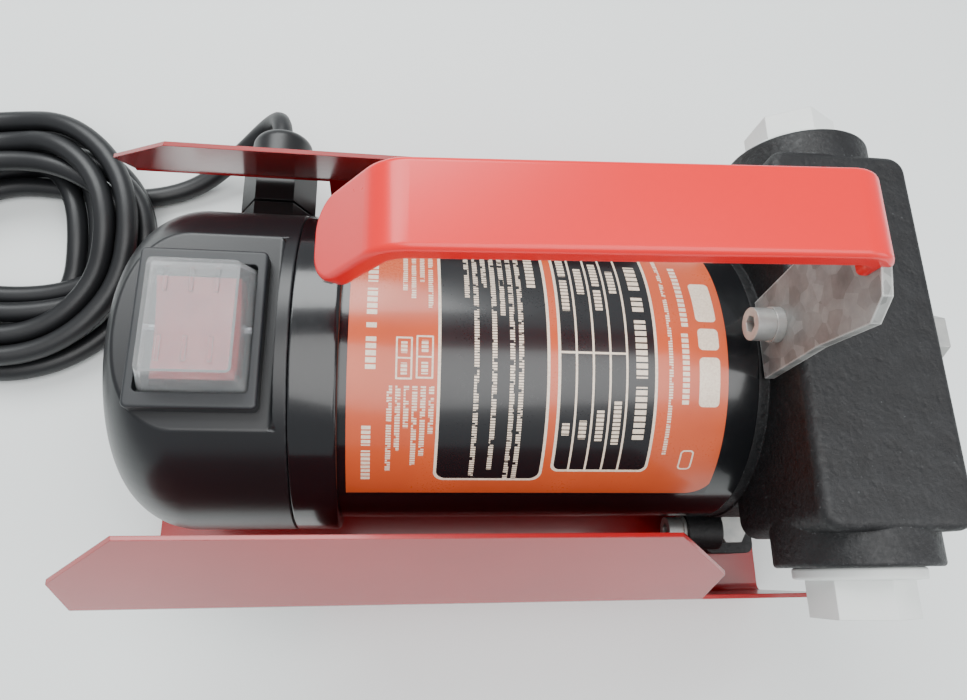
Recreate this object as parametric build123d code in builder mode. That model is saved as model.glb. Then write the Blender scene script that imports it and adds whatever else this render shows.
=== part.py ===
"""Fluid transfer pump: a 12 V motor, a vane pump head, a carrying handle and a folded base.

Units are millimetres. +X runs along the motor axis towards the pump head, +Y towards the
outlet port, and +Z up. The origin is on the underside of the base plate, below the motor.
"""
import os
from math import cos, pi, radians, sin, tan

from build123d import *

os.makedirs("parts", exist_ok=True)

# ---------------------------------------------------------------- driving dimensions
axis_z = 50.0                      # motor axis above the base plate's underside
fit_gap = 0.05                     # radial clearance of a running or locating fit

tube_r, tube_wall = 43.0, 2.5      # motor tube
tube_left, tube_right = -50.0, 65.5
cap_r, cap_wall = 46.5, 2.5        # rear cap and its ring
cap_left, cap_seam, ring_right = -105.0, -57.0, -45.0
facet_z = 88.7                     # flat on top of the rear cap, under the switch
head_left, head_right = 68.5, 109.0
head_bottom_z, head_top_z = 66.0, 107.0
head_half_y = 51.0                 # manifold block, without the port bosses

port_x, port_z = 88.8, 86.2        # port centres
port_boss_r, port_rim_y = 20.2, 59.0
port_bore_r, port_bore_depth = 13.3, 24.0

plate_t = 1.2                      # base bracket sheet
base_left, base_right, base_half_y = -108.0, 105.0, 67.5
wall_left, wall_top_z = -54.0, 50.0
horn_left, horn_right = -115.0, 61.6
horn_tip_z, horn_top_z, horn_top_y = 67.2, 90.4, 51.3
horn_top_left, horn_top_right = -91.5, 39.0

shaft_r, shaft_rear_r = 5.0, 4.0
armature_left, armature_right, armature_r = -12.0, 40.0, 31.5
rotor_left, rotor_right, rotor_r = 86.5, 108.4, 22.5
cam_offset, cam_bore_r, cam_outer_r = 2.5, 25.5, 28.5

facet_right = -60.2                # the flat's step up to the cap's rim
cap_screw_r, cap_screw_angles = 33.0, (215.0, 325.0)

switch_x, switch_y = -79.2, -0.9   # rocker switch centre
switch_cut_x, switch_cut_y = 24.6, 31.6
rocker_tilt = 8.0                  # the rocker leans this much to each side of level

gland_x, gland_z = -71.7, 36.0
gland_seat_y, gland_end_y = 46.6, 88.5
gland_inner_y = 35.2               # inside face of the boss that the gland passes through

flange_screw_pcr = 53.0            # pitch-circle radius of the three flange screws
top_screw_dy = 0.8                 # the top flange screw's hole is this far towards +Y
m5_r, m5_head_r, m5_head_h = 2.5, 4.25, 5.0

cord_d = 7.0
coil_x, coil_y = -168.0, 57.0      # middle of the coil on the floor
coil_a, coil_b, coil_height = 52.0, 46.0, 21.0
coil_ring = 24.0                   # width of the ring of turns


def along_x(x):
    """Plane across the motor axis at x; its own x and y are +Y and +Z."""
    return Plane.YZ.offset(x)


def toward_y(y):
    """Plane facing +Y at y; its own x and y are -X and +Z."""
    return Plane(origin=(0, y, 0), x_dir=(-1, 0, 0), z_dir=(0, 1, 0))


def disc_x(x_from, x_to, radius, y=0.0, z=axis_z, mode=Mode.ADD):
    """A round bar along X, added to or cut from the part being built."""
    with BuildSketch(along_x(x_from)) as section:
        with Locations((y, z)):
            Circle(radius)
    extrude(section.sketch, amount=x_to - x_from, mode=mode)


def disc_y(y_from, y_to, radius, x, z, mode=Mode.ADD):
    """A round bar along +Y, added to or cut from the part being built."""
    with BuildSketch(toward_y(y_from)) as section:
        with Locations((-x, z)):
            Circle(radius)
    extrude(section.sketch, amount=y_to - y_from, mode=mode)


def block(x_from, x_to, y_from, y_to, z_from, z_to, mode=Mode.ADD, corner=0.0):
    """A box given by its limits, with its vertical corners rounded if corner is set."""
    with BuildSketch(Plane.XY.offset(z_from)) as section:
        with Locations(((x_from + x_to) / 2, (y_from + y_to) / 2)):
            if corner:
                RectangleRounded(x_to - x_from, y_to - y_from, corner)
            else:
                Rectangle(x_to - x_from, y_to - y_from)
    extrude(section.sketch, amount=z_to - z_from, mode=mode)


def on_circle(radius, degrees):
    """(y, z) of a point about the motor axis, measured from +Y towards +Z."""
    return radius * cos(radians(degrees)), axis_z + radius * sin(radians(degrees))


# ---------------------------------------------------------------- base bracket
with BuildPart() as base_bracket:
    with BuildSketch(along_x(horn_left)):
        with BuildLine():
            FilletPolyline(
                (-horn_top_y, horn_top_z), (-base_half_y, wall_top_z), (-base_half_y, 0),
                (base_half_y, 0), (base_half_y, wall_top_z), (horn_top_y, horn_top_z),
                radius=3.5,
            )
            offset(amount=plate_t, side=Side.LEFT)
        make_face()
    extrude(amount=base_right - horn_left)
    lip_z = plate_t + 0.4
    with BuildSketch(Plane.XZ):
        with BuildLine():
            Polyline(
                (base_left, -1), (base_right, -1), (base_right, wall_top_z),
                (horn_right, wall_top_z), (horn_right, horn_tip_z),
                (horn_top_right, horn_top_z + 2), (horn_top_left, horn_top_z + 2),
                (horn_left, horn_tip_z), (horn_left, wall_top_z - 1.5),
                (wall_left, wall_top_z - 1.5), (wall_left, lip_z), (base_left, lip_z),
                close=True,
            )
        make_face()
    extrude(amount=2 * base_half_y, both=True, mode=Mode.INTERSECT)
    for foot_y in (-45.0, 45.0):
        with BuildSketch(Plane.XY):
            with Locations((90.0, foot_y)):
                Circle(3.3)
        extrude(amount=plate_t + 1, mode=Mode.SUBTRACT)

# ---------------------------------------------------------------- motor shell
with BuildPart() as motor_tube:
    disc_x(tube_left, tube_right, tube_r)
    disc_x(tube_left, tube_right, tube_r - tube_wall, mode=Mode.SUBTRACT)

label_left, label_right, label_half_angle = -43.0, 56.7, 63.0
with BuildPart() as motor_label:
    disc_x(label_left, label_right, tube_r + 0.25)
    disc_x(label_left, label_right, tube_r + 0.02, mode=Mode.SUBTRACT)
    reach = 2 * tube_r
    label_edge_y = reach * sin(radians(label_half_angle))
    label_edge_z = axis_z + reach * cos(radians(label_half_angle))
    with BuildSketch(along_x(label_left)):
        with BuildLine():
            Polyline(
                (0, axis_z), (-label_edge_y, label_edge_z), (-reach, axis_z + reach),
                (reach, axis_z + reach), (label_edge_y, label_edge_z),
                close=True,
            )
        make_face()
    extrude(amount=label_right - label_left, mode=Mode.INTERSECT)

magnet_half_angle, magnet_inner_r = 62.0, 32.6
magnet_left, magnet_length = -14.0, 56.0
with BuildPart() as magnets:
    for middle in (0.0, 180.0):
        angles = middle - magnet_half_angle, middle, middle + magnet_half_angle
        with BuildSketch(along_x(magnet_left)):
            with BuildLine():
                inner_arc = ThreePointArc(*[on_circle(magnet_inner_r, a) for a in angles])
                outer_arc = ThreePointArc(*[on_circle(tube_r - tube_wall - 0.02, a) for a in angles])
                Line(inner_arc @ 0, outer_arc @ 0)
                Line(inner_arc @ 1, outer_arc @ 1)
            make_face()
        extrude(amount=magnet_length)

# ---------------------------------------------------------------- rotating group
with BuildPart() as shaft:
    disc_x(-46, -36, shaft_rear_r)
    disc_x(-36, rotor_right - 2, shaft_r)

slot_count = 12
with BuildPart() as armature_core:
    disc_x(armature_left, armature_right, armature_r)
    disc_x(armature_left, armature_right, shaft_r, mode=Mode.SUBTRACT)
    with BuildSketch(along_x(armature_left)):
        with Locations((0, axis_z)):
            with PolarLocations(24.0, slot_count):
                SlotOverall(16.0, 5.0)
    extrude(amount=armature_right - armature_left, mode=Mode.SUBTRACT)

with BuildPart() as winding:
    with BuildSketch(along_x(armature_left - 6)):
        with Locations((0, axis_z)):
            with PolarLocations(24.0, slot_count):
                SlotOverall(14.0, 4.4)
    extrude(amount=armature_right - armature_left + 12)
    for end_from, end_to in ((armature_left - 6, armature_left), (armature_right, armature_right + 6)):
        disc_x(end_from, end_to, 29.0)
        disc_x(end_from, end_to, 9.0, mode=Mode.SUBTRACT)
    fillet(winding.faces().sort_by(Axis.X)[-1].edges().sort_by(SortBy.LENGTH)[-1:], 3)
    fillet(winding.faces().sort_by(Axis.X)[0].edges().sort_by(SortBy.LENGTH)[-1:], 3)

segment_count = 24
with BuildPart() as commutator:
    disc_x(-35, -19.5, 12.5)
    disc_x(-35, -19.5, shaft_r, mode=Mode.SUBTRACT)
    with BuildSketch(along_x(-35)):
        with Locations((0, axis_z)):
            with PolarLocations(12.5, segment_count):
                Rectangle(2.4, 0.5)
    extrude(amount=15.5, mode=Mode.SUBTRACT)

vane_count, vane_t, vane_depth = 5, 3.0, 13.0
vane_middle_r = rotor_r - vane_depth / 2 - 0.1
with BuildPart() as vane_rotor:
    disc_x(rotor_left, rotor_right, rotor_r)
    disc_x(rotor_left, rotor_right - 2, shaft_r, mode=Mode.SUBTRACT)
    with BuildSketch(along_x(rotor_left)):
        with Locations((0, axis_z)):
            with PolarLocations(vane_middle_r + 0.6, vane_count, start_angle=90):
                Rectangle(vane_depth + 1, vane_t + 0.1)
    extrude(amount=rotor_right - rotor_left, mode=Mode.SUBTRACT)

with BuildPart() as vanes:
    with BuildSketch(along_x(rotor_left)):
        with Locations((0, axis_z)):
            with PolarLocations(vane_middle_r, vane_count, start_angle=90):
                Rectangle(vane_depth - 0.5, vane_t)
    extrude(amount=rotor_right - rotor_left)

# ---------------------------------------------------------------- rear end of the motor
with BuildPart() as rear_endplate:
    disc_x(-45, -37, tube_r - tube_wall - fit_gap)
    disc_x(-45, -37, 11.0, mode=Mode.SUBTRACT)
    with BuildSketch(along_x(-45)):
        with Locations((0, axis_z)):
            with PolarLocations(27.0, 4, start_angle=45):
                Circle(6.0)
    extrude(amount=8, mode=Mode.SUBTRACT)


def bearing(x_from, x_to, outer_r, groove_r, hub_r, bore_r):
    """A ball bearing's outside: a ring with a shallow groove around the hub on both faces."""
    groove_depth = 0.8
    with BuildPart() as body:
        disc_x(x_from, x_to, outer_r)
        for face_x in (x_from, x_to - groove_depth):
            disc_x(face_x, face_x + groove_depth, groove_r, mode=Mode.SUBTRACT)
            disc_x(face_x, face_x + groove_depth, hub_r)
        disc_x(x_from, x_to, bore_r, mode=Mode.SUBTRACT)
    return body


rear_bearing = bearing(-44.5, -37.5, 11.0, 9.2, 5.8, shaft_rear_r + 0.02)
front_bearing = bearing(58.0, 66.0, 13.0, 11.0, 7.2, shaft_r + 0.02)

brush_z = 3.0
brush_x = (-31.0, -23.0)
with BuildPart() as brushes:
    for side in (-1, 1):
        near, far = sorted((side * 12.9, side * 22.0))
        block(*brush_x, near, far, axis_z - brush_z, axis_z + brush_z)

with BuildPart() as brush_holders:
    for side in (-1, 1):
        near, far = sorted((side * 15.5, side * 33.0))
        block(-37, -21, near, far, axis_z - 5.2, axis_z + 5.2)
        near, far = sorted((side * 15.5, side * 31.5))
        block(brush_x[0] - 0.15, brush_x[1] + 0.15, near, far,
              axis_z - brush_z - 0.15, axis_z + brush_z + 0.15, mode=Mode.SUBTRACT)

with BuildPart() as brush_springs:
    for side in (-1, 1):
        with BuildLine() as spring_line:
            Helix(pitch=1.9, height=8.4, radius=2.0,
                  center=(-27, side * 22.5, axis_z), direction=(0, side, 0))
        with BuildSketch(Plane(origin=spring_line.line @ 0, z_dir=spring_line.line % 0)):
            Circle(0.3)
        sweep(path=spring_line.line)

# ---------------------------------------------------------------- rear cap and its ring
with BuildPart() as cap_ring:
    disc_x(cap_seam + 0.1, ring_right, cap_r)
    disc_x(tube_left, ring_right, tube_r + fit_gap, mode=Mode.SUBTRACT)
    disc_x(cap_seam + 0.1, tube_left, 27.0, mode=Mode.SUBTRACT)
    for angle in cap_screw_angles:
        disc_x(cap_seam, tube_left, 2.1, *on_circle(cap_screw_r, angle), mode=Mode.SUBTRACT)
    for end, rounding in ((-1, 1.2), (0, 0.5)):
        end_edges = cap_ring.edges().filter_by(GeomType.CIRCLE).group_by(Axis.X)[end]
        fillet(end_edges.sort_by(SortBy.LENGTH)[-1], rounding)

with BuildPart() as cap_cavity:
    disc_x(cap_left + cap_wall, cap_seam + 1, cap_r - cap_wall)
    fillet(cap_cavity.edges().filter_by(GeomType.CIRCLE).group_by(Axis.X)[0], 19.0)
    block(cap_left, facet_right + cap_wall, -cap_r, cap_r, facet_z - cap_wall,
          axis_z + cap_r, mode=Mode.SUBTRACT)

with BuildPart() as rear_cap:
    disc_x(cap_left, cap_seam, cap_r)
    fillet(rear_cap.edges().filter_by(GeomType.CIRCLE).group_by(Axis.X)[0], 21.0)
    fillet(rear_cap.edges().filter_by(GeomType.CIRCLE).group_by(Axis.X)[-1], 0.5)
    block(cap_left - 1, facet_right, -cap_r, cap_r, facet_z, axis_z + cap_r + 1, mode=Mode.SUBTRACT)
    fillet(rear_cap.faces().filter_by(Axis.Z).sort_by(Axis.Z)[-1].edges(), 1.5)
    add(cap_cavity.part, mode=Mode.SUBTRACT)
    block(switch_x - switch_cut_x / 2, switch_x + switch_cut_x / 2,
          switch_y - switch_cut_y / 2, switch_y + switch_cut_y / 2,
          facet_z - 10, facet_z + 1, mode=Mode.SUBTRACT)
    disc_y(gland_inner_y, gland_seat_y, 13.5, gland_x, gland_z)
    disc_y(gland_inner_y - 6, gland_seat_y + 1, 9.3, gland_x, gland_z, mode=Mode.SUBTRACT)
    for angle in cap_screw_angles:
        screw_y, screw_z = on_circle(cap_screw_r, angle)
        disc_x(-98, cap_seam, 4.6, screw_y, screw_z)
        disc_x(cap_left, -97, 3.9, screw_y, screw_z, mode=Mode.SUBTRACT)
        disc_x(cap_left, cap_seam, 2.1, screw_y, screw_z, mode=Mode.SUBTRACT)

with BuildPart() as rear_cap_screws:
    for angle in cap_screw_angles:
        screw_y, screw_z = on_circle(cap_screw_r, angle)
        disc_x(-99.8, -97, 3.6, screw_y, screw_z)
        disc_x(-97, -47, 2.0, screw_y, screw_z)

# ---------------------------------------------------------------- switch in the cap's flat
frame_x, frame_y, frame_top_z = 31.0, 41.0, 93.0
boot_x, boot_y = 26.4, 33.4
boot_top_x, boot_top_y, boot_top_z = 21.4, 28.0, 101.5
rocker_pivot_z = 88.5

with BuildPart() as switch_housing:
    with BuildSketch(Plane.XY.offset(facet_z)):
        with Locations((switch_x, switch_y)):
            RectangleRounded(boot_x - 0.4, boot_y - 0.4, 1.0)
    extrude(amount=1.6)
    with BuildSketch(Plane.XY.offset(facet_z - 24)):
        with Locations((switch_x, switch_y)):
            Rectangle(switch_cut_x - 0.4, switch_cut_y - 0.4)
    extrude(amount=24)
    with BuildSketch(Plane.XY.offset(facet_z - 12)):
        with Locations((switch_x, switch_y)):
            Rectangle(20.6, 28.4)
    extrude(amount=20, mode=Mode.SUBTRACT)
    disc_x(switch_x - 12.1, switch_x + 12.1, 1.97, switch_y, rocker_pivot_z, mode=Mode.SUBTRACT)

with BuildPart() as switch_frame:
    with BuildSketch(Plane.XY.offset(facet_z)):
        with Locations((switch_x, switch_y)):
            RectangleRounded(frame_x, frame_y, 1.5)
            RectangleRounded(boot_x, boot_y, 1.2, mode=Mode.SUBTRACT)
    extrude(amount=frame_top_z - facet_z)
    fillet(switch_frame.faces().sort_by(Axis.Z)[-1].outer_wire().edges(), 0.8)

with BuildPart() as rocker_button:
    lean = radians(rocker_tilt)
    rocker_plane = Plane(
        origin=(switch_x - 9.6, switch_y, rocker_pivot_z),
        x_dir=(0, cos(lean), sin(lean)), z_dir=(1, 0, 0),
    )
    with BuildSketch(rocker_plane):
        with BuildLine():
            ridge_left = (-12.2, 6.2)
            ridge_right = (12.2, 6.2)
            top = ThreePointArc(ridge_left, (0, 4.6), ridge_right)
            Polyline(ridge_right, (12.2, 1.0), (4.0, -6.5), (-4.0, -6.5), (-12.2, 1.0), ridge_left)
        make_face()
        Circle(2.0, mode=Mode.SUBTRACT)
    extrude(amount=19.2)

with BuildPart() as rocker_pin:
    disc_x(switch_x - 12.0, switch_x + 12.0, 1.95, switch_y, rocker_pivot_z)

with BuildPart() as switch_boot:
    with BuildSketch(Plane.XY.offset(facet_z + 1.6)) as boot_base:
        with Locations((switch_x, switch_y)):
            RectangleRounded(boot_x - 0.4, boot_y - 0.4, 1.4)
    with BuildSketch(Plane.XY.offset(boot_top_z)) as boot_top:
        with Locations((switch_x, switch_y)):
            RectangleRounded(boot_top_x, boot_top_y, 1.4)
    loft()
    with BuildSketch(Plane.XY.offset(facet_z + 1.6)):
        with Locations((switch_x, switch_y)):
            RectangleRounded(boot_x - 2.2, boot_y - 2.2, 0.8)
    with BuildSketch(Plane.XY.offset(boot_top_z - 1.0)):
        with Locations((switch_x, switch_y)):
            RectangleRounded(boot_top_x - 1.6, boot_top_y - 1.6, 0.8)
    loft(mode=Mode.SUBTRACT)
    with BuildSketch(Plane.XY.offset(boot_top_z)):
        with Locations((switch_x, switch_y)):
            with GridLocations(5.8, 17.0, 3, 2):
                Rectangle(0.9, 6.0)
    extrude(amount=0.6)

with BuildPart() as switch_terminals:
    with BuildSketch(Plane.XY.offset(facet_z - 32)):
        with Locations((switch_x, switch_y)):
            with GridLocations(10.0, 9.0, 2, 2):
                Rectangle(0.8, 6.3)
    extrude(amount=8)

# ---------------------------------------------------------------- cable gland
gland_hex_r = 12.4
with BuildPart() as gland_body:
    with BuildSketch(toward_y(gland_seat_y)):
        with Locations((-gland_x, gland_z)):
            RegularPolygon(radius=gland_hex_r, side_count=6)
    extrude(amount=12.0)
    disc_y(31.8, gland_seat_y, 9.2, gland_x, gland_z)
    disc_y(58.0, 72.0, 8.6, gland_x, gland_z)
    disc_y(31.8, 72.0, cord_d / 2 + 0.8, gland_x, gland_z, mode=Mode.SUBTRACT)

with BuildPart() as gland_locknut:
    with BuildSketch(toward_y(gland_inner_y - 3.4)):
        with Locations((-gland_x, gland_z)):
            RegularPolygon(radius=gland_hex_r, side_count=6)
            Circle(9.25, mode=Mode.SUBTRACT)
    extrude(amount=3.4)

with BuildPart() as gland_seal:
    disc_y(72.2, 80.0, 7.2, gland_x, gland_z)
    disc_y(72.2, 80.0, cord_d / 2 + 0.02, gland_x, gland_z, mode=Mode.SUBTRACT)

with BuildPart() as gland_nut:
    with BuildSketch(toward_y(59.5)):
        with Locations((-gland_x, gland_z)):
            RegularPolygon(radius=gland_hex_r, side_count=6)
    extrude(amount=15.5)
    disc_y(75.0, gland_end_y, 10.2, gland_x, gland_z)
    fillet(gland_nut.faces().sort_by(Axis.Y)[-1].edges(), 4.0)
    disc_y(59.5, 73.0, 8.65, gland_x, gland_z, mode=Mode.SUBTRACT)
    disc_y(73.0, 80.1, 7.25, gland_x, gland_z, mode=Mode.SUBTRACT)
    disc_y(80.0, gland_end_y, cord_d / 2 + 0.3, gland_x, gland_z, mode=Mode.SUBTRACT)

# ---------------------------------------------------------------- pump head
flange_screw_angles = (90.0, 210.0, 330.0)
cover_screw_pcr, cover_r, cover_screw_count = 33.0, 37.0, 6
bypass_z, bypass_r = 97.0, 5.6
passage_x, passage_y = port_x + 8, 17.0  # upright passages from the ports to the cam bore
foot_x, foot_y, foot_top_z = 90.0, 45.0, 13.0


def cover_screw_circle(x_from, x_to, radius, sides=0, mode=Mode.ADD):
    """The circle of cover screws, or their holes, as round bars or as bars with that many sides."""
    with BuildSketch(along_x(x_from)) as section:
        with Locations((0, axis_z)):
            with PolarLocations(cover_screw_pcr, cover_screw_count, start_angle=30):
                if sides:
                    RegularPolygon(radius=radius, side_count=sides)
                else:
                    Circle(radius)
    extrude(section.sketch, amount=x_to - x_from, mode=mode)


with BuildPart() as pump_body:
    block(head_left, head_right, -head_half_y, head_half_y, head_bottom_z, head_top_z)
    fillet(pump_body.edges().filter_by(Axis.Z), 5.0)
    fillet(pump_body.faces().sort_by(Axis.Z)[-1].edges(), 2.6)
    disc_x(head_left, head_right, tube_r + 0.5)
    disc_x(tube_right, head_left, tube_r)
    disc_x(58.0, tube_right, tube_r - tube_wall - fit_gap)
    disc_y(-port_rim_y, port_rim_y, port_boss_r, port_x, port_z)
    for angle in flange_screw_angles[1:]:
        lug_y, lug_z = on_circle(flange_screw_pcr, angle)
        disc_x(head_left, head_left + 12, 6.6, lug_y, lug_z)
        web_from, web_to = sorted((lug_y, lug_y * 0.6))
        block(head_left, head_left + 12, web_from, web_to, lug_z - 5, lug_z + 5)
    for side in (-1, 1):
        near, far = sorted((side * 26.0, side * 53.5))
        block(foot_x - 9, foot_x + 9, near, far, plate_t, foot_top_z, corner=3.0)
        near, far = sorted((side * 26.0, side * 36.0))
        block(foot_x - 9, foot_x + 9, near, far, foot_top_z, axis_z - 15)
        bore_from, bore_to = sorted((side * port_rim_y, side * (port_rim_y - port_bore_depth)))
        disc_y(bore_from, bore_to, port_bore_r, port_x, port_z, mode=Mode.SUBTRACT)
        passage_from, passage_to = sorted((side * 36.0, side * 13.0))
        disc_y(passage_from, passage_to, 8.0, port_x, port_z - 2, mode=Mode.SUBTRACT)
        with BuildSketch(Plane.XY.offset(plate_t)):
            with Locations((foot_x, side * foot_y)):
                Circle(3.3)
        extrude(amount=foot_top_z, mode=Mode.SUBTRACT)
        with BuildSketch(Plane.XY.offset(axis_z + 15)):
            with Locations((passage_x, side * passage_y)):
                Circle(5.0)
        extrude(amount=port_z - axis_z - 15, mode=Mode.SUBTRACT)
    disc_x(head_right - 23, head_right, cam_outer_r + fit_gap, mode=Mode.SUBTRACT)
    disc_x(70.0, 78.0, 12.0 + 0.02, mode=Mode.SUBTRACT)
    disc_x(58.0, 70.0, 8.0, mode=Mode.SUBTRACT)
    disc_x(58.0, 66.1, 13.0, mode=Mode.SUBTRACT)
    disc_x(78.0, head_right - 23, shaft_r + 0.4, mode=Mode.SUBTRACT)
    disc_x(head_right - 30, head_right, bypass_r, 0, bypass_z, mode=Mode.SUBTRACT)
    top_y, top_z = on_circle(flange_screw_pcr, flange_screw_angles[0])
    disc_x(head_left, head_left + 14, m5_r, top_y + top_screw_dy, top_z, mode=Mode.SUBTRACT)
    for angle in flange_screw_angles[1:]:
        lug_y, lug_z = on_circle(flange_screw_pcr, angle)
        disc_x(head_left, head_left + 12, m5_r, lug_y, lug_z, mode=Mode.SUBTRACT)
    cover_screw_circle(head_right - 12, head_right, 2.0, mode=Mode.SUBTRACT)
    for rim in (0, -1):
        rim_edges = pump_body.edges().filter_by(GeomType.CIRCLE).group_by(Axis.Y)[rim]
        fillet(rim_edges.sort_by(SortBy.LENGTH)[-1], 1.0)

with BuildPart() as shaft_seal:
    disc_x(70.1, 77.0, 12.0)
    disc_x(70.1, 77.0, shaft_r + 0.03, mode=Mode.SUBTRACT)
    disc_x(70.1, 71.5, 9.5, mode=Mode.SUBTRACT)
    disc_x(70.1, 71.5, 6.6)
    disc_x(70.1, 71.5, shaft_r + 0.03, mode=Mode.SUBTRACT)

with BuildPart() as cam_ring:
    disc_x(head_right - 22.9, head_right, cam_outer_r)
    disc_x(head_right - 22.9, head_right, cam_bore_r, 0, axis_z + cam_offset, mode=Mode.SUBTRACT)
    for side in (-1, 1):
        with BuildSketch(Plane.XY.offset(axis_z + 12)):
            with Locations((passage_x, side * passage_y)):
                Circle(4.0)
        extrude(amount=18, mode=Mode.SUBTRACT)

with BuildPart() as cover_gasket:
    disc_x(head_right, head_right + 0.8, cover_r)
    disc_x(head_right, head_right + 0.8, cam_outer_r - 1, mode=Mode.SUBTRACT)
    cover_screw_circle(head_right, head_right + 0.8, 2.1, mode=Mode.SUBTRACT)

cover_left, cover_right = head_right + 0.8, head_right + 7.0
with BuildPart() as pump_cover:
    disc_x(cover_left, cover_right, cover_r)
    fillet(pump_cover.edges().filter_by(GeomType.CIRCLE).group_by(Axis.X)[-1], 1.5)
    cover_screw_circle(cover_left, cover_right, 2.1, mode=Mode.SUBTRACT)

with BuildPart() as pump_cover_screws:
    cover_screw_circle(cover_right, cover_right + 3.6, 3.5)
    cover_screw_circle(head_right - 8, cover_right, 1.98)
    cover_screw_circle(cover_right + 1.6, cover_right + 3.6, 1.7, sides=6, mode=Mode.SUBTRACT)

# ---------------------------------------------------------------- bypass valve
with BuildPart() as bypass_poppet:
    disc_x(80.5, 87.0, bypass_r - 0.35, 0, bypass_z)
    disc_x(87.0, 90.0, 1.9, 0, bypass_z)

with BuildPart() as bypass_spring:
    with BuildLine() as bypass_line:
        Helix(pitch=2.9, height=15.6, radius=3.4, center=(87.6, 0, bypass_z), direction=(1, 0, 0))
    with BuildSketch(Plane(origin=bypass_line.line @ 0, z_dir=bypass_line.line % 0)):
        Circle(0.45)
    sweep(path=bypass_line.line)

with BuildPart() as bypass_cap:
    disc_x(104.0, head_right, bypass_r - 0.02, 0, bypass_z)
    with BuildSketch(along_x(head_right)):
        with Locations((0, bypass_z)):
            RegularPolygon(radius=8.0, side_count=6)
    extrude(amount=5)
    chamfer(bypass_cap.faces().sort_by(Axis.X)[-1].edges(), 0.6)

# ---------------------------------------------------------------- port plugs
plug_flange_r, plug_flange_t, plug_hex_r, plug_hex_h = 15.9, 3.0, 12.9, 9.3


def plug(outward):
    """A hex-headed port plug; outward is -1 on the near side and 1 on the far side."""
    rim = outward * port_rim_y
    hex_from = rim + outward * plug_flange_t
    with BuildPart() as body:
        disc_y(*sorted((rim, hex_from)), plug_flange_r, port_x, port_z)
        fillet(body.edges().filter_by(GeomType.CIRCLE), 0.8)
        with BuildSketch(toward_y(min(hex_from, hex_from + outward * plug_hex_h))) as head:
            with Locations((-port_x, port_z)):
                RegularPolygon(radius=plug_hex_r, side_count=6, rotation=30)
        extrude(head.sketch, amount=plug_hex_h)
        disc_y(*sorted((rim, rim - outward * 15.0)), port_bore_r - 0.35, port_x, port_z)
        disc_y(*sorted((rim + outward, rim - outward * 15.0)), 9.8, port_x, port_z, mode=Mode.SUBTRACT)
    return body


port_plug_near = plug(-1)
port_plug_far = plug(1)

# ---------------------------------------------------------------- handle
bar_t = 2.5
bar_near_y, bar_far_y = 0.8, 18.2
coat_t = 1.5
tab_bottom_z, leg_bottom_z, grip_end_z = tube_r + axis_z + 0.6, 128.0, 137.5
bend_top_z, left_bend, tip = 147.0, (-34.8, 139.6), (-47.4, 119.8)
bend_radii = (7.0, 10.0)           # right bend, left bend

bar_route = (head_left, leg_bottom_z), (head_left, bend_top_z), left_bend, tip
with BuildPart() as handle_bar:
    with BuildSketch(Plane.XZ.offset(-bar_far_y)):
        with BuildLine():
            FilletPolyline(*bar_route, radius=list(bend_radii))
            offset(amount=bar_t, side=Side.LEFT)
        make_face()
    extrude(amount=bar_far_y - bar_near_y)
    with BuildSketch(along_x(head_left - bar_t)):
        with BuildLine():
            Polyline(
                (-11.0, tab_bottom_z), (10.5, tab_bottom_z), (13.0, 113.0), (bar_far_y, 137.0),
                (bar_near_y, 137.0), (bar_near_y, 143.5), (-6.5, 142.0), (-10.8, 137.0), (-9.8, 118.0),
                close=True,
            )
        make_face()
    extrude(amount=bar_t)
    top_y, top_z = on_circle(flange_screw_pcr, flange_screw_angles[0])
    disc_x(head_left - bar_t, head_left, m5_r + 0.2, top_y + top_screw_dy, top_z, mode=Mode.SUBTRACT)

with BuildPart() as handle_grip:
    with BuildSketch(Plane.XZ.offset(-bar_far_y - coat_t)):
        with BuildLine():
            FilletPolyline(
                (head_left + coat_t, grip_end_z), (head_left + coat_t, bend_top_z + coat_t),
                (left_bend[0] - 0.7, left_bend[1] + coat_t), (tip[0] - 2.6, tip[1] - 0.8),
                radius=[radius + coat_t for radius in bend_radii],
            )
            offset(amount=bar_t + 2 * coat_t, side=Side.LEFT)
        make_face()
    extrude(amount=bar_far_y - bar_near_y + 2 * coat_t)
    tip_corners = handle_grip.edges().filter_by(lambda e: abs(e.length - bar_t - 2 * coat_t) < 0.2)
    fillet(tip_corners.filter_by(lambda e: e.center().Z < 125), 8.0)
    fillet(handle_grip.faces().filter_by(Axis.Y).edges(), 1.4)
    add(handle_bar.part, mode=Mode.SUBTRACT)

# ---------------------------------------------------------------- flange, foot screws and washers
with BuildPart() as flange_screws:
    for angle in flange_screw_angles:
        screw_y, screw_z = on_circle(flange_screw_pcr, angle)
        seat_x = head_left - 1.0
        if angle == 90.0:
            screw_y += top_screw_dy
            seat_x = head_left - bar_t - 2.4
        disc_x(seat_x - m5_head_h, seat_x, m5_head_r, screw_y, screw_z)
        disc_x(seat_x, head_left + 10, m5_r - 0.03, screw_y, screw_z)
        with BuildSketch(along_x(seat_x - m5_head_h)) as socket:
            with Locations((screw_y, screw_z)):
                RegularPolygon(radius=2.3, side_count=6)
        extrude(socket.sketch, amount=2.6, mode=Mode.SUBTRACT)

with BuildPart() as flange_washers:
    for angle in flange_screw_angles:
        screw_y, screw_z = on_circle(flange_screw_pcr, angle)
        seat_x, stack = head_left, 1.0
        if angle == 90.0:
            screw_y += top_screw_dy
            seat_x, stack = head_left - bar_t, 2.4
        disc_x(seat_x - stack, seat_x, 5.0 if stack == 1.0 else 4.6, screw_y, screw_z)
        disc_x(seat_x - stack, seat_x, m5_r + 0.1, screw_y, screw_z, mode=Mode.SUBTRACT)

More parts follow.
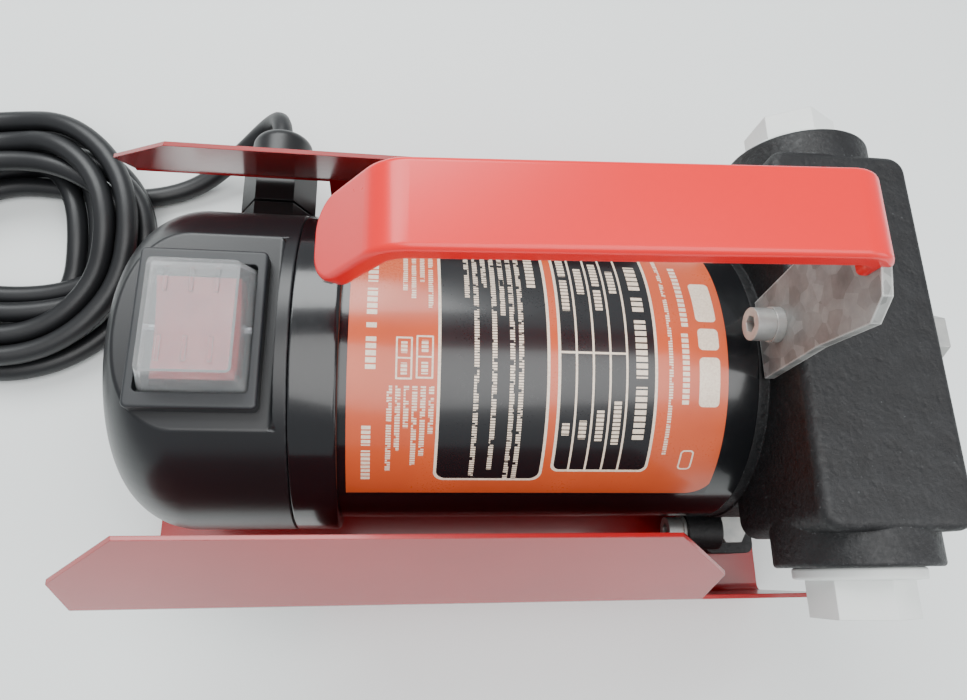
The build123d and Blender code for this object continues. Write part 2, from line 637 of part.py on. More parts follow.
with BuildPart() as foot_screws:
    for side in (-1, 1):
        with BuildSketch(Plane.XY.offset(foot_top_z)) as head:
            with Locations((foot_x, side * foot_y)):
                RegularPolygon(radius=5.7, side_count=6)
        extrude(head.sketch, amount=4.2)
        with BuildSketch(Plane.XY.offset(0.2)) as shank:
            with Locations((foot_x, side * foot_y)):
                Circle(3.0)
        extrude(shank.sketch, amount=foot_top_z)

# ---------------------------------------------------------------- power cord, coil and connector
cord_r = cord_d / 2
cord_route = [
    (gland_x, 76.0, gland_z), (gland_x, 98.0, gland_z), (-79.5, 104.5, 22.0), (-93.5, 96.0, 10.0),
    (-109.0, 85.0, cord_r + 0.3), (-129.0, 79.0, cord_r + 0.3),
]


def corner_radii(route):
    """For each inner point of a route, 0.45 of the shorter run over the tangent of half the turn."""
    radii = []
    for before, here, after in zip(route, route[1:], route[2:]):
        run_in, run_out = Vector(*here) - Vector(*before), Vector(*after) - Vector(*here)
        half_turn = radians(run_in.get_angle(run_out) / 2)
        radii.append(0.45 * min(run_in.length, run_out.length) / tan(half_turn))
    return radii


cord_radii = corner_radii(cord_route)
with BuildPart() as power_cord:
    with BuildLine() as cord_line:
        FilletPolyline(*cord_route, radius=cord_radii)
    with BuildSketch(Plane(origin=cord_line.line @ 0, z_dir=cord_line.line % 0)):
        Circle(cord_r)
    sweep(path=cord_line.line)

with BuildPart() as cord_coil:
    with BuildSketch(Plane.XY):
        with Locations((coil_x, coil_y)):
            Ellipse(coil_a, coil_b)
            Ellipse(coil_a - coil_ring, coil_b - coil_ring, mode=Mode.SUBTRACT)
    extrude(amount=coil_height)
    fillet(cord_coil.faces().filter_by(Axis.Z).edges(), 5.0)

connector_x, connector_back_y, connector_front_y = -220.0, 28.0, -14.0
with BuildPart() as connector_boot:
    disc_y(connector_back_y, connector_back_y + 16, 5.0, connector_x, 8.0)
    chamfer(connector_boot.faces().sort_by(Axis.Y)[-1].edges(), 1.0)

with BuildPart() as connector_housing:
    block(connector_x - 10, connector_x + 10, connector_front_y, connector_back_y, 0.5, 15.5, corner=2.0)
    fillet(connector_housing.faces().filter_by(Axis.Z).edges(), 1.5)
    for side in (-1, 1):
        block(connector_x + side * 4.8 - 3.2, connector_x + side * 4.8 + 3.2, connector_front_y,
              connector_front_y + 18, 4.5, 11.5, mode=Mode.SUBTRACT)

with BuildPart() as connector_contacts:
    for side in (-1, 1):
        block(connector_x + side * 4.8 - 2.6, connector_x + side * 4.8 + 2.6, connector_front_y + 3,
              connector_front_y + 18, 7.2, 8.8)

for index, radius in enumerate(cord_radii, start=1):
    print(f"cord corner {index}: radius {radius:.1f} mm")
cord_length = cord_line.wire().length
print(f"cord tube: length {cord_length:.1f}, volume {power_cord.part.volume:.0f},",
      f"section x length {pi * cord_r ** 2 * cord_length:.0f}")

# ---------------------------------------------------------------- one STEP file per piece
pieces = {
    "base_bracket": base_bracket,
    "motor_tube": motor_tube,
    "motor_label": motor_label,
    "magnets": magnets,
    "shaft": shaft,
    "armature_core": armature_core,
    "winding": winding,
    "commutator": commutator,
    "vane_rotor": vane_rotor,
    "vanes": vanes,
    "rear_endplate": rear_endplate,
    "rear_bearing": rear_bearing,
    "front_bearing": front_bearing,
    "brushes": brushes,
    "brush_holders": brush_holders,
    "brush_springs": brush_springs,
    "cap_ring": cap_ring,
    "rear_cap": rear_cap,
    "rear_cap_screws": rear_cap_screws,
    "switch_housing": switch_housing,
    "switch_frame": switch_frame,
    "rocker_button": rocker_button,
    "rocker_pin": rocker_pin,
    "switch_boot": switch_boot,
    "switch_terminals": switch_terminals,
    "gland_body": gland_body,
    "gland_locknut": gland_locknut,
    "gland_seal": gland_seal,
    "gland_nut": gland_nut,
    "pump_body": pump_body,
    "shaft_seal": shaft_seal,
    "cam_ring": cam_ring,
    "cover_gasket": cover_gasket,
    "pump_cover": pump_cover,
    "pump_cover_screws": pump_cover_screws,
    "bypass_poppet": bypass_poppet,
    "bypass_spring": bypass_spring,
    "bypass_cap": bypass_cap,
    "port_plug_near": port_plug_near,
    "port_plug_far": port_plug_far,
    "handle_bar": handle_bar,
    "handle_grip": handle_grip,
    "flange_screws": flange_screws,
    "flange_washers": flange_washers,
    "foot_screws": foot_screws,
    "power_cord": power_cord,
    "cord_coil": cord_coil,
    "connector_boot": connector_boot,
    "connector_housing": connector_housing,
    "connector_contacts": connector_contacts,
}
for name, piece in pieces.items():
    piece.part.label = name
    export_step(piece.part, f"parts/{name}.step")
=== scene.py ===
"""Fluid transfer pump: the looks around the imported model. Metres, in the model's own frame."""
import math

import bpy
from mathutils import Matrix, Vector


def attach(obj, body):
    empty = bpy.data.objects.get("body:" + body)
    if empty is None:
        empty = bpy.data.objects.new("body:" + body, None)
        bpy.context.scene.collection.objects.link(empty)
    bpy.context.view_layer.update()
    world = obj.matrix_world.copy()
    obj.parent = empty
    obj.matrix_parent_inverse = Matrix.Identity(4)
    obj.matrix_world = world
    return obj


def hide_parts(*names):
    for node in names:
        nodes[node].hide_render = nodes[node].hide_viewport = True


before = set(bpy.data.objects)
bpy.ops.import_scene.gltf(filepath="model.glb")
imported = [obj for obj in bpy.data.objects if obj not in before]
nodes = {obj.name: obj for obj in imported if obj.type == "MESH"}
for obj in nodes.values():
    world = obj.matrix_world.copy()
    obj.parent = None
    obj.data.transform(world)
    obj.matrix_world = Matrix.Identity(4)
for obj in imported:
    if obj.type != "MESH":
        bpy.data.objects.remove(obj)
bpy.context.view_layer.update()
MM = 0.001

# ---------------------------------------------------------------- camera
# Its place, angles and focal length were solved from the photograph.
camera_data = bpy.data.cameras.new("camera")
camera_data.lens = 26.74
camera_data.sensor_width = 36.0
camera_data.sensor_fit = "HORIZONTAL"
camera_data.clip_start = 0.01
camera = bpy.data.objects.new("camera", camera_data)
camera.location = (-0.033, -0.05915, 0.26567)
camera.rotation_euler = [math.radians(angle) for angle in (17.332, -7.695, -0.722)]
bpy.context.scene.collection.objects.link(camera)
bpy.context.scene.camera = camera


def ease(value, start, end):
    """0 up to start and 1 from end, with a smooth step between."""
    t = min(max((value - start) / (end - start), 0.0), 1.0)
    return t * t * (3 - 2 * t)


# ---------------------------------------------------------------- power cord, in millimetres
CORD_D = 7.0
ROUTE = [
    (-71.7, 76.0, 36.0), (-71.7, 98.0, 36.0), (-79.5, 104.5, 22.0), (-93.5, 96.0, 10.0),
    (-109.0, 85.0, 3.8), (-129.0, 79.0, 3.8),
]
COIL_X, COIL_Y = -168.0, 57.0
# Each whole turn's reach up, left, down and right in plan, its height, and its height at the bottom.
TURNS = [
    (26.0, 30.0, 33.0, 22.0, 3.7, 3.7),
    (33.6, 37.6, 40.4, 29.6, 3.7, 3.7),
    (41.2, 45.2, 47.8, 47.0, 3.7, 3.7),
    (43.4, 46.4, 27.6, 48.4, 11.0, 9.6),
    (35.8, 38.8, 20.0, 40.6, 11.0, 6.0),
    (28.2, 32.8, 36.6, 36.4, 18.3, 11.0),
    (36.0, 40.4, 44.4, 44.2, 18.3, 11.0),
]
# The coil ends in a quarter turn, from END_UP above its middle in plan to END_LEFT beside it.
END_UP, END_LEFT, END_Z = 44.6, 53.6, 18.3
LAYER = 7.3
# Degrees from the top of the coil, through its left side, between which the cord changes height.
DIP_STARTS, DIP_ENDS = (95, 165), (195, 265)
LIFT_STARTS, LIFT_ENDS = (245, 280), (330, 360)
NEXT_TURN, END_DROP = (318, 360), (35, 100)
QUARTER_POINTS = 4
LEAD_IN = [(-148.0, 81.2, 3.7)]
LEAD_OUT = [(-221.2, 51.0, 8.6), (-220.4, 47.0, 8.0), (-220.0, 44.0, 8.0)]


def turn_height(turn, angle):
    """Height of a whole turn at an angle; each one rises over the lead-in."""
    side, low = TURNS[turn][4:]
    after = TURNS[turn + 1][4] if turn + 1 < len(TURNS) else END_Z
    dip = ease(angle, *DIP_STARTS) * (1 - ease(angle, *DIP_ENDS))
    height = side + (low - side) * dip
    height += (after - side) * ease(angle, *NEXT_TURN)
    height += LAYER * ease(angle, *LIFT_STARTS) * (1 - ease(angle, *LIFT_ENDS))
    return height


def quarter_turn(quarter, here, there, height_at):
    """Points of a quarter turn from one reach up to the next, which is left out."""
    placed = []
    for step in range(QUARTER_POINTS):
        part = step / QUARTER_POINTS
        c, s = math.cos(part * math.pi / 2), math.sin(part * math.pi / 2)
        z = height_at(90 * (quarter + part))
        placed.append((COIL_X + here[0] * c + there[0] * s, COIL_Y + here[1] * c + there[1] * s, z))
    return placed


coil = []
for turn in range(len(TURNS)):
    up, left, low, right = TURNS[turn][:4]
    next_up = TURNS[turn + 1][0] if turn + 1 < len(TURNS) else END_UP
    reaches = [(0, up), (-left, 0), (0, -low), (right, 0), (0, next_up)]
    for quarter in range(4):
        coil += quarter_turn(
            quarter, reaches[quarter], reaches[quarter + 1], lambda angle: turn_height(turn, angle))
coil += quarter_turn(0, (0, END_UP), (-END_LEFT, 0), lambda angle: END_Z - LAYER * ease(angle, *END_DROP))

points = ROUTE + LEAD_IN + coil + LEAD_OUT
cord_data = bpy.data.curves.new("cord", "CURVE")
cord_data.dimensions = "3D"
spline = cord_data.splines.new("NURBS")
spline.points.add(len(points) - 1)
for point, place in zip(spline.points, points):
    point.co = (*[value * MM for value in place], 1.0)
    point.radius = MM
spline.order_u = 3
spline.use_endpoint_u = True
spline.resolution_u = 6
cord_data.bevel_depth = CORD_D / 2        # in millimetres, as each point's radius is a thousandth
cord_data.bevel_resolution = 6
cord_data.use_fill_caps = True
cord = bpy.data.objects.new("cord", cord_data)
bpy.context.scene.collection.objects.link(cord)
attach(cord, "pump")
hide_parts("power_cord", "cord_coil")


# ---------------------------------------------------------------- node helpers
BEVEL_SAMPLES = 4
FLAT = 0.995    # cosine of the turn at which a rounded surface starts to count as an edge


def linear(r, g, b):
    """A colour given in sRGB, 0 to 255, as linear values with alpha."""
    return tuple(
        value / 255 / 12.92 if value <= 10.31 else ((value / 255 + 0.055) / 1.055) ** 2.4
        for value in (r, g, b)
    ) + (1.0,)


class Tree:
    """A material's node tree, with short calls for the nodes used here."""

    def __init__(self, name):
        self.material = bpy.data.materials.new(name)
        self.material.use_nodes = True
        self.tree = self.material.node_tree
        self.shader = self.tree.nodes["Principled BSDF"]
        self.place = self.put("ShaderNodeTexCoord").outputs["Object"]

    def put(self, kind, inputs=None, **settings):
        """A node; an input is a value or another node's output."""
        node = self.tree.nodes.new(kind)
        for key, value in settings.items():
            setattr(node, key, value)
        for key, value in (inputs or {}).items():
            self.feed(node.inputs[key], value)
        return node

    def feed(self, socket, value):
        if isinstance(value, bpy.types.NodeSocket):
            self.tree.links.new(value, socket)
        else:
            socket.default_value = value

    def calc(self, operation, a, b=0.0):
        return self.put("ShaderNodeMath", {0: a, 1: b}, operation=operation).outputs[0]

    def noise(self, scale, detail=2.0, rough=0.5, place=None):
        inputs = {"Vector": place or self.place, "Scale": scale, "Detail": detail, "Roughness": rough}
        return self.put("ShaderNodeTexNoise", inputs).outputs[0]

    def cells(self, scale):
        return self.put("ShaderNodeTexVoronoi", {"Vector": self.place, "Scale": scale}).outputs

    def stretched(self, x, y, z):
        """The object coordinates scaled along each axis, for a drawn or brushed grain."""
        node = self.put("ShaderNodeMapping", {"Vector": self.place})
        node.inputs["Scale"].default_value = (x, y, z)
        return node.outputs[0]

    def remap(self, value, from_low, from_high, to_low=0.0, to_high=1.0):
        inputs = {0: value, 1: from_low, 2: from_high, 3: to_low, 4: to_high}
        return self.put("ShaderNodeMapRange", inputs).outputs[0]

    def mix(self, factor, a, b):
        """Colour a where factor is 0 and colour b where it is 1."""
        node = self.put("ShaderNodeMix", data_type="RGBA")
        self.feed(node.inputs[0], factor)
        self.feed(node.inputs[6], a)
        self.feed(node.inputs[7], b)
        return node.outputs[2]

    def edges(self, radius, threshold=0.9):
        """1 on sharp edges and 0 on flats, from how a rounded edge would turn the surface."""
        flat = self.put("ShaderNodeNewGeometry").outputs["Normal"]
        inputs = {0: self.rounded(radius), 1: flat}
        dot = self.put("ShaderNodeVectorMath", inputs, operation="DOT_PRODUCT")
        return self.remap(dot.outputs["Value"], FLAT, threshold)

    def bump(self, height, distance, strength=1.0, normal=None):
        inputs = {"Height": height, "Distance": distance, "Strength": strength}
        if normal is not None:
            inputs["Normal"] = normal
        return self.put("ShaderNodeBump", inputs).outputs[0]

    def rounded(self, radius):
        """The normal as it would be with the edges rounded."""
        return self.put("ShaderNodeBevel", {"Radius": radius}, samples=BEVEL_SAMPLES).outputs[0]

    def set(self, **inputs):
        """Inputs of the main shader; underscores stand for the spaces in their names."""
        for key, value in inputs.items():
            self.feed(self.shader.inputs[key.replace("_", " ")], value)


def plain(name, colour, other, rough=(0.3, 0.4), metal=0.0, patch=60.0, grain=900.0, depth=0.00002,
          edge=None, edge_radius=0.0006, grain_axes=None, **extra):
    """A finish of two close tones in patches, a fine grain, uneven gloss and, if edge is set, worn edges."""
    t = Tree(name)
    grain_place = t.stretched(*grain_axes) if grain_axes else None
    fine = t.noise(grain, 3.0, 0.6, grain_place)
    broad = t.noise(patch, 3.0, 0.55)
    tone = t.mix(t.remap(broad, 0.2, 0.8), colour, other)
    tone = t.mix(t.calc("MULTIPLY", fine, 0.25), tone, other)
    if edge:
        worn = t.calc("MULTIPLY", t.edges(edge_radius), t.remap(t.noise(450.0, 4.0, 0.7), 0.5, 0.62))
        tone = t.mix(worn, tone, edge)
    t.set(Base_Color=tone, Metallic=metal, Roughness=t.remap(t.calc("ADD", fine, broad), 0.4, 1.6, *rough))
    t.set(Normal=t.bump(fine, depth, 0.6, t.rounded(0.0004)), **extra)
    return t.material


# ---------------------------------------------------------------- finishes
finishes = {
    "bracket_red": plain(
        "bracket_red", linear(166, 14, 20), linear(150, 10, 16), (0.2, 0.28), patch=25.0, grain=520.0,
        depth=0.000004, Coat_Weight=0.25, Coat_Roughness=0.12),
    "tube_black": plain(
        "tube_black", linear(20, 21, 24), linear(14, 15, 17), (0.14, 0.24), grain=500.0, depth=0.00001,
        Coat_Weight=0.3, Coat_Roughness=0.08),
    "cap_black": plain(
        "cap_black", linear(27, 28, 31), linear(21, 22, 24), (0.27, 0.36), patch=30.0, grain=1300.0,
        depth=0.000012, edge=linear(62, 64, 66)),
    "magnet_grey": plain("magnet_grey", linear(70, 70, 74), linear(52, 52, 55), (0.6, 0.75), depth=0.00004),
    "steel": plain(
        "steel", linear(178, 180, 184), linear(140, 142, 146), (0.2, 0.34), 1.0, grain=60.0,
        grain_axes=(1.0, 14.0, 14.0)),
    "copper": plain("copper", linear(190, 104, 58), linear(150, 72, 40), (0.25, 0.4), 1.0, grain=1600.0),
    "carbon": plain(
        "carbon", linear(46, 46, 48), linear(34, 34, 36), (0.55, 0.7), grain=1500.0, depth=0.00004),
    "switch_black": plain(
        "switch_black", linear(40, 42, 45), linear(31, 33, 36), (0.34, 0.44), patch=90.0, grain=2200.0,
        depth=0.000015),
    "rocker_red": plain(
        "rocker_red", linear(214, 30, 34), linear(192, 22, 26), (0.18, 0.26), grain=1400.0, depth=0.000006,
        Coat_Weight=0.4, Coat_Roughness=0.1),
    "brass_contacts": plain("brass_contacts", linear(204, 168, 96), linear(170, 132, 70), (0.2, 0.35), 1.0),
    "gland_black": plain(
        "gland_black", linear(24, 25, 27), linear(18, 19, 20), (0.32, 0.45), grain=1500.0, depth=0.00002),
    "seal_rubber": plain(
        "seal_rubber", linear(34, 34, 35), linear(26, 26, 27), (0.6, 0.75), grain=1200.0, depth=0.00004),
    "zinc": plain(
        "zinc", linear(206, 206, 200), linear(172, 174, 174), (0.42, 0.56), 0.8, patch=260.0, grain=1800.0,
        depth=0.00002, edge=linear(226, 226, 222), edge_radius=0.0003),
    "vane_grey": plain("vane_grey", linear(150, 144, 132), linear(124, 118, 108), (0.4, 0.55), grain=1100.0),
    "plug_white": plain(
        "plug_white", linear(232, 235, 232), linear(222, 226, 224), (0.34, 0.46), patch=80.0, grain=900.0,
        depth=0.00002, Subsurface_Weight=0.12, Subsurface_Radius=(0.004, 0.004, 0.004)),
    "grip_red": plain(
        "grip_red", linear(242, 10, 20), linear(232, 6, 16), (0.26, 0.34), patch=20.0, grain=600.0,
        depth=0.000004, Coat_Weight=0.15, Coat_Roughness=0.12),
    "cord_black": plain(
        "cord_black", linear(30, 31, 33), linear(22, 23, 25), (0.34, 0.5), patch=45.0, grain=1400.0,
        depth=0.00003),
}


def core_steel():
    """Laminated iron: thin sheets stacked along X."""
    t = Tree("core_steel")
    inputs = {"Vector": t.place, "Scale": 320.0, "Distortion": 0.4}
    sheets = t.put("ShaderNodeTexWave", inputs, wave_type="BANDS", bands_direction="X").outputs[1]
    tone = t.mix(sheets, linear(92, 94, 98), linear(136, 138, 142))
    t.set(Base_Color=tone, Metallic=0.9, Roughness=t.remap(t.noise(300.0), 0.3, 0.7, 0.35, 0.55))
    t.set(Normal=t.bump(sheets, 0.00006))
    return t.material


def cast_black():
    """Rough casting under thin black paint, bare metal glinting on its edges and high grains."""
    t = Tree("cast_black")
    coarse = t.noise(190.0, 4.0, 0.65)
    fine = t.noise(820.0, 4.0, 0.7)
    pits = t.remap(t.cells(420.0)["Distance"], 0.0, 0.45)
    height = t.calc("ADD", t.calc("MULTIPLY", coarse, 1.3), t.calc("MULTIPLY", fine, 0.55))
    height = t.calc("ADD", height, t.calc("MULTIPLY", pits, 0.28))
    tone = t.mix(t.remap(coarse, 0.35, 0.7), linear(10, 10, 12), linear(22, 23, 25))
    speck = t.remap(t.noise(1500.0, 4.0, 0.75), 0.6, 0.68)
    worn = t.calc("MULTIPLY", t.edges(0.0016, 0.93), speck)
    loose = t.calc("MULTIPLY", t.remap(fine, 0.66, 0.74), 0.35)
    tone = t.mix(t.calc("MAXIMUM", worn, loose), tone, linear(128, 132, 134))
    t.set(Base_Color=tone, Metallic=0.0, Roughness=t.remap(fine, 0.3, 0.7, 0.4, 0.68))
    t.set(Normal=t.bump(height, 0.0003, 1.0, t.rounded(0.0007)))
    return t.material


def handle_steel():
    """Galvanised strip: large dull spangles, fine streaks and brighter sheared edges."""
    t = Tree("handle_steel")
    spangle = t.cells(260.0)["Color"]
    shade = t.put("ShaderNodeSeparateColor", {0: spangle}).outputs[0]
    cloud = t.noise(130.0, 4.0, 0.65)
    blend = t.calc("ADD", t.calc("MULTIPLY", shade, 0.45), t.calc("MULTIPLY", cloud, 0.75))
    tone = t.mix(t.remap(blend, 0.3, 1.0), linear(128, 129, 127), linear(182, 184, 181))
    tone = t.mix(t.edges(0.0007), tone, linear(232, 233, 230))
    streak = t.noise(90.0, 3.0, 0.6, t.stretched(1.0, 1.0, 12.0))
    t.set(Base_Color=tone, Metallic=0.6, Roughness=t.remap(t.calc("ADD", shade, streak), 0.4, 1.4, 0.5, 0.68))
    t.set(Normal=t.bump(t.calc("ADD", cloud, streak), 0.00004, 0.7, t.rounded(0.0005)))
    return t.material


def boot_clear():
    """Clear vinyl boot, slightly milky, thicker and cloudier in places."""
    t = Tree("boot_clear")
    cloud = t.noise(150.0, 3.0, 0.6)
    tone = t.mix(t.remap(cloud, 0.3, 0.7), linear(246, 248, 248), linear(232, 236, 238))
    t.set(Base_Color=tone, Roughness=t.remap(cloud, 0.3, 0.7, 0.06, 0.16))
    t.set(Transmission_Weight=0.8, IOR=1.35, Normal=t.bump(cloud, 0.00008, 0.6))
    return t.material


# ---------------------------------------------------------------- printed label
TUBE_AXIS_Z = 0.050
LABEL_R = 43.25     # in millimetres, like all of the print
ORANGE, ORANGE_DEEP = linear(212, 94, 52), linear(202, 84, 46)
CREAM, CREAM_DULL = linear(250, 236, 214), linear(228, 208, 186)
PRINT_BLACK, SCUFF = linear(22, 23, 26), linear(70, 46, 40)
# Boxes of print as (X from, X to, arc from, arc to), in millimetres along and around the tube.
PANEL, TABLE = (-20.5, 8.4, -41.5, 41.8), (10.5, 37.2, -40.0, 38.4)
PANEL_CORNER, TABLE_CORNER, BORDER, RULE_HALF, RULE_INSET = 3.0, 2.2, 0.75, 0.28, 0.5
RULES_X, DIVIDER_ARC = (15.4, 19.9, 24.4, 28.9), 5.0
# The orange ground fills this box, and the film is black outside it.
GROUND, GROUND_CORNER = (-60.0, 57.2, -80.0, 47.2), 7.0
ROW_CORNER, LETTER_GAP, OUTLINE_W = 0.15, 0.26, 0.45
# Small print: its line height, letter pitch and gap, and the noise scale and cut that space its words.
FINE_LINE, FINE_PITCH, FINE_GAP, WORD_SCALE, WORD_FROM = 1.05, 0.72, 0.3, 0.55, 0.4
# Rows that stand for text, as (X, height, arc from, arc to, letter pitch).
LIGHT_ROWS = [
    (32.9, 3.1, -23.2, -13.6, 1.75), (32.9, 3.1, -11.4, -6.6, 1.75), (32.9, 3.1, -4.4, 11.4, 1.75),
    (32.9, 3.1, 13.6, 28.0, 1.75),
    (26.7, 2.0, -20.9, -12.5, 1.15), (26.7, 2.0, 17.4, 29.5, 1.15),
    (22.2, 2.0, -24.0, -15.0, 1.15), (22.2, 2.0, -13.8, -7.0, 1.15), (22.2, 2.0, 20.0, 28.5, 1.15),
    (17.7, 2.0, -21.5, -12.0, 1.15), (17.7, 2.0, 22.8, 28.0, 1.15),
    (13.2, 2.0, -27.0, -18.0, 1.15), (13.2, 2.0, -16.6, -6.5, 1.15), (13.2, 2.0, 23.6, 27.0, 1.15),
    (4.3, 2.3, -26.4, -13.2, 1.35),
]
FINE_ROWS = [
    (0.9, 1.25, -25.6, 40.8), (-1.4, 1.25, -25.6, 41.4), (-3.7, 1.25, -25.6, -4.5), (-6.0, 1.25, -25.6, 37.8),
    (-8.3, 1.25, -25.6, -13.0), (-10.6, 1.25, -25.6, 40.2), (-12.9, 1.25, -25.6, -9.5),
]
ORANGE_ROWS = [
    (40.9, 1.1, -27.0, 32.6), (-22.4, 1.2, -27.0, -6.0), (-24.6, 1.2, -27.0, -14.0),
    (-26.8, 1.2, -27.0, -8.5), (-29.0, 1.2, -27.0, -11.0),
    (-21.9, 1.3, 14.4, 27.0), (-24.0, 1.3, 14.4, 33.5), (-26.1, 1.3, 14.4, 36.5),
    (-28.2, 1.3, 14.4, 25.5), (-30.3, 1.3, 14.4, 32.0), (-32.4, 1.3, 14.4, 38.5),
]
BOLD_ROWS = [
    (-37.3, 2.6, -21.0, -13.4, 1.8), (-37.3, 2.6, -11.4, -3.6, 1.8), (-37.3, 2.6, -1.4, 0.2, 1.8),
    (-37.3, 2.6, 2.4, 10.6, 1.8), (-38.0, 2.3, 24.8, 30.6, 1.3), (-38.0, 2.3, 32.0, 41.6, 1.3),
    (45.4, 1.9, -24.0, -3.0, 1.5), (45.0, 1.9, -1.0, 18.2, 1.5),
]
BLOCKS = [(48.7, 54.4, -17.2, -4.6, 1.2), (48.7, 54.4, -2.6, 3.4, 1.2), (48.7, 54.4, 5.4, 18.6, 1.2)]
OUTLINES = [
    (-26.0, -21.6, 1.7, 12.7, 0.2), (-31.1, -26.9, 2.2, 13.0, 0.2), (45.6, 49.4, 31.0, 37.4, 1.2),
]
SPLITS = [(-26.0, -21.6, 7.0, 7.4), (-31.1, -26.9, 7.4, 7.8)]
STAMPS = [(-23.8, 1.7, 2.9, 6.0, 1.0), (-23.8, 1.7, 8.5, 11.6, 1.0), (-29.0, 1.6, 3.4, 6.4, 1.0),
          (-29.0, 1.6, 8.8, 11.8, 1.0)]


def rounded_box_group():
    """A node group that is 1 inside a round-cornered box and 0 outside."""
    group = bpy.data.node_groups.new("rounded_box", "ShaderNodeTree")
    for name in ("U", "V", "U from", "U to", "V from", "V to", "Corner"):
        group.interface.new_socket(name, in_out="INPUT", socket_type="NodeSocketFloat")
    group.interface.new_socket("Mask", in_out="OUTPUT", socket_type="NodeSocketFloat")
    source = group.nodes.new("NodeGroupInput").outputs
    sink = group.nodes.new("NodeGroupOutput").inputs

    def calc(operation, a, b=0.0):
        node = group.nodes.new("ShaderNodeMath")
        node.operation = operation
        for socket, value in zip(node.inputs, (a, b)):
            if isinstance(value, bpy.types.NodeSocket):
                group.links.new(value, socket)
            else:
                socket.default_value = value
        return node.outputs[0]

    outside = []
    for at, low, high in (("U", "U from", "U to"), ("V", "V from", "V to")):
        middle = calc("MULTIPLY", calc("ADD", source[low], source[high]), 0.5)
        half = calc("MULTIPLY", calc("SUBTRACT", source[high], source[low]), 0.5)
        beyond = calc("SUBTRACT", calc("ABSOLUTE", calc("SUBTRACT", source[at], middle)), half)
        outside.append(calc("MAXIMUM", calc("ADD", beyond, source["Corner"]), 0.0))
    squares = [calc("MULTIPLY", value, value) for value in outside]
    reach = calc("SQRT", calc("ADD", *squares))
    group.links.new(calc("LESS_THAN", reach, calc("MAXIMUM", source["Corner"], 0.0001)), sink["Mask"])
    return group


def label_film():
    """The printed label: orange ground, a black panel and table, and bars in place of all text."""
    t = Tree("label_film")
    box_group = rounded_box_group()
    axes = t.put("ShaderNodeSeparateXYZ", {0: t.place}).outputs
    along = t.calc("MULTIPLY", axes[0], 1 / MM)
    toward = t.calc("MULTIPLY", axes[1], -1.0)
    upward = t.calc("SUBTRACT", axes[2], TUBE_AXIS_Z)
    around = t.calc("MULTIPLY", t.calc("ARCTAN2", toward, upward), LABEL_R)

    def mask(u_from, u_to, v_from, v_to, corner=0.0):
        inputs = {0: along, 1: around, 2: u_from, 3: u_to, 4: v_from, 5: v_to, 6: corner}
        node = t.put("ShaderNodeGroup", node_tree=box_group)
        for key, value in inputs.items():
            t.feed(node.inputs[key], value)
        return node.outputs[0]

    def union(parts):
        total = parts[0]
        for part in parts[1:]:
            total = t.calc("MAXIMUM", total, part)
        return total

    def letters(pitch, gap=LETTER_GAP):
        """Slits across a row, a pitch apart."""
        return t.calc("GREATER_THAN", t.calc("FRACT", t.calc("MULTIPLY", around, 1.0 / pitch)), gap)

    def rows(table):
        by_pitch = {}
        for x, height, start, end, pitch in table:
            row = mask(x - height / 2, x + height / 2, start, end, ROW_CORNER)
            by_pitch.setdefault(pitch, []).append(row)
        return union([t.calc("MULTIPLY", union(parts), letters(pitch)) for pitch, parts in by_pitch.items()])

    broken = t.put("ShaderNodeCombineXYZ", {0: t.calc("SNAP", along, FINE_LINE), 1: around}).outputs[0]
    words = t.calc("GREATER_THAN", t.noise(WORD_SCALE, 1.0, 0.5, broken), WORD_FROM)
    words = t.calc("MULTIPLY", words, letters(FINE_PITCH, FINE_GAP))

    def fine(table):
        parts = [mask(x - height / 2, x + height / 2, start, end) for x, height, start, end in table]
        return t.calc("MULTIPLY", union(parts), words)

    def shrunk(limits, by):
        return limits[0] + by, limits[1] - by, limits[2] + by, limits[3] - by

    black_parts, frame_parts = [], []
    for limits, corner in ((PANEL, PANEL_CORNER), (TABLE, TABLE_CORNER)):
        frame_parts.append(mask(*limits, corner))
        black_parts.append(mask(*shrunk(limits, BORDER), corner - BORDER / 2))
    inside = union(black_parts)
    rules = [
        mask(x - RULE_HALF, x + RULE_HALF, TABLE[2] + RULE_INSET, TABLE[3] - RULE_INSET) for x in RULES_X
    ]
    rules.append(mask(TABLE[0] + RULE_INSET, RULES_X[-1], DIVIDER_ARC - RULE_HALF, DIVIDER_ARC + RULE_HALF))
    outlines = []
    for *limits, corner in OUTLINES:
        inner = mask(*shrunk(limits, OUTLINE_W), max(corner - OUTLINE_W, 0.0))
        outlines.append(t.calc("SUBTRACT", mask(*limits, corner), inner))
    outlines += [mask(*limits) for limits in SPLITS] + [mask(*limits) for limits in BLOCKS]
    light = union([*rules, *outlines, rows(LIGHT_ROWS), rows(BOLD_ROWS), rows(STAMPS), fine(FINE_ROWS),
                   fine(ORANGE_ROWS)])

    cloud = t.noise(45.0, 3.0, 0.6)
    grain = t.noise(1600.0, 2.0, 0.6)
    ground = t.mix(t.remap(cloud, 0.3, 0.7), ORANGE, ORANGE_DEEP)
    cream = t.mix(t.remap(grain, 0.3, 0.7), CREAM, CREAM_DULL)
    tone = t.mix(union(frame_parts), ground, cream)
    tone = t.mix(inside, tone, PRINT_BLACK)
    tone = t.mix(light, tone, cream)
    tone = t.mix(mask(*GROUND, GROUND_CORNER), PRINT_BLACK, tone)
    scuff = t.calc("MULTIPLY", t.remap(t.noise(900.0, 5.0, 0.8), 0.62, 0.7), t.remap(cloud, 0.5, 0.62))
    tone = t.mix(t.calc("MULTIPLY", scuff, 0.35), tone, SCUFF)
    t.set(Base_Color=tone, Roughness=t.remap(t.calc("ADD", cloud, grain), 0.7, 1.3, 0.26, 0.36))
    t.set(Coat_Weight=0.35, Coat_Roughness=0.15, Normal=t.bump(grain, 0.000006, 0.5))
    return t.material


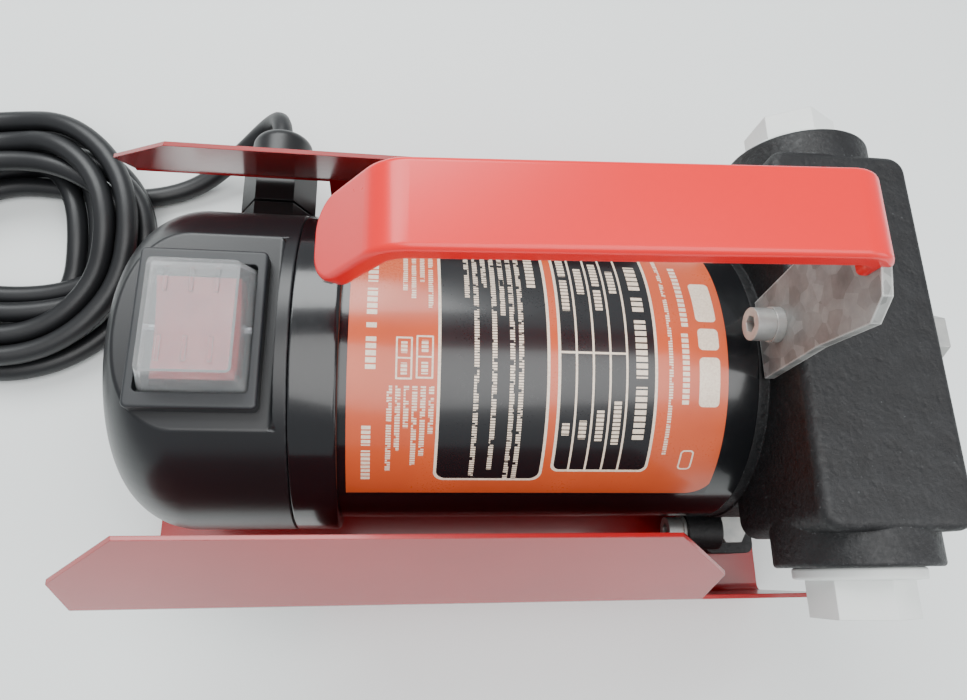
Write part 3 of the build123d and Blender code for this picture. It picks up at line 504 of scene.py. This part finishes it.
finishes["core_steel"] = core_steel()
finishes["cast_black"] = cast_black()
finishes["handle_steel"] = handle_steel()
finishes["boot_clear"] = boot_clear()
finishes["label_film"] = label_film()

for node in nodes.values():
    slot = node.data.materials[0].name.split(".")[0]
    node.data.materials[0] = finishes[slot]
cord_data.materials.append(finishes["cord_black"])


# ---------------------------------------------------------------- floor and light
FLOOR_HALF = 3.0
FLOOR_LIGHT, FLOOR_DARK = linear(236, 240, 239), linear(229, 233, 232)
floor_mesh = bpy.data.meshes.new("floor")
floor_corners = [(FLOOR_HALF * x, FLOOR_HALF * y, 0.0) for x, y in ((-1, -1), (1, -1), (1, 1), (-1, 1))]
floor_mesh.from_pydata(floor_corners, [], [(0, 1, 2, 3)])
floor = bpy.data.objects.new("floor", floor_mesh)
bpy.context.scene.collection.objects.link(floor)
paint = Tree("floor_paint")
paint.set(Base_Color=paint.mix(paint.noise(3.0), FLOOR_LIGHT, FLOOR_DARK), Roughness=0.6)
floor_mesh.materials.append(paint.material)

world = bpy.data.worlds.new("studio")
world.use_nodes = True
sky = world.node_tree.nodes["Background"].inputs
sky["Color"].default_value = (0.93, 0.96, 1.0, 1.0)
sky["Strength"].default_value = 0.6
bpy.context.scene.world = world

LIGHT_AIM = Vector((0.0, 0.0, 0.05))
LIGHTS = [
    # name, place, size along and across, power, colour
    ("window", (-0.35, 0.75, 0.95), (0.9, 0.6), 15.0, (0.97, 1.0, 1.0)),
    ("ceiling", (0.15, -0.25, 1.3), (1.2, 1.2), 18.0, (1.0, 1.0, 0.99)),
    ("side", (1.0, -0.4, 0.6), (0.6, 0.6), 3.0, (1.0, 1.0, 1.0)),
]
for name, place, size, power, colour in LIGHTS:
    lamp = bpy.data.lights.new(name, "AREA")
    lamp.shape = "RECTANGLE"
    lamp.size, lamp.size_y = size
    lamp.energy = power
    lamp.color = colour
    holder = bpy.data.objects.new(name, lamp)
    holder.location = place
    holder.rotation_euler = (LIGHT_AIM - Vector(place)).to_track_quat("-Z", "Y").to_euler()
    bpy.context.scene.collection.objects.link(holder)

bpy.context.view_layer.update()
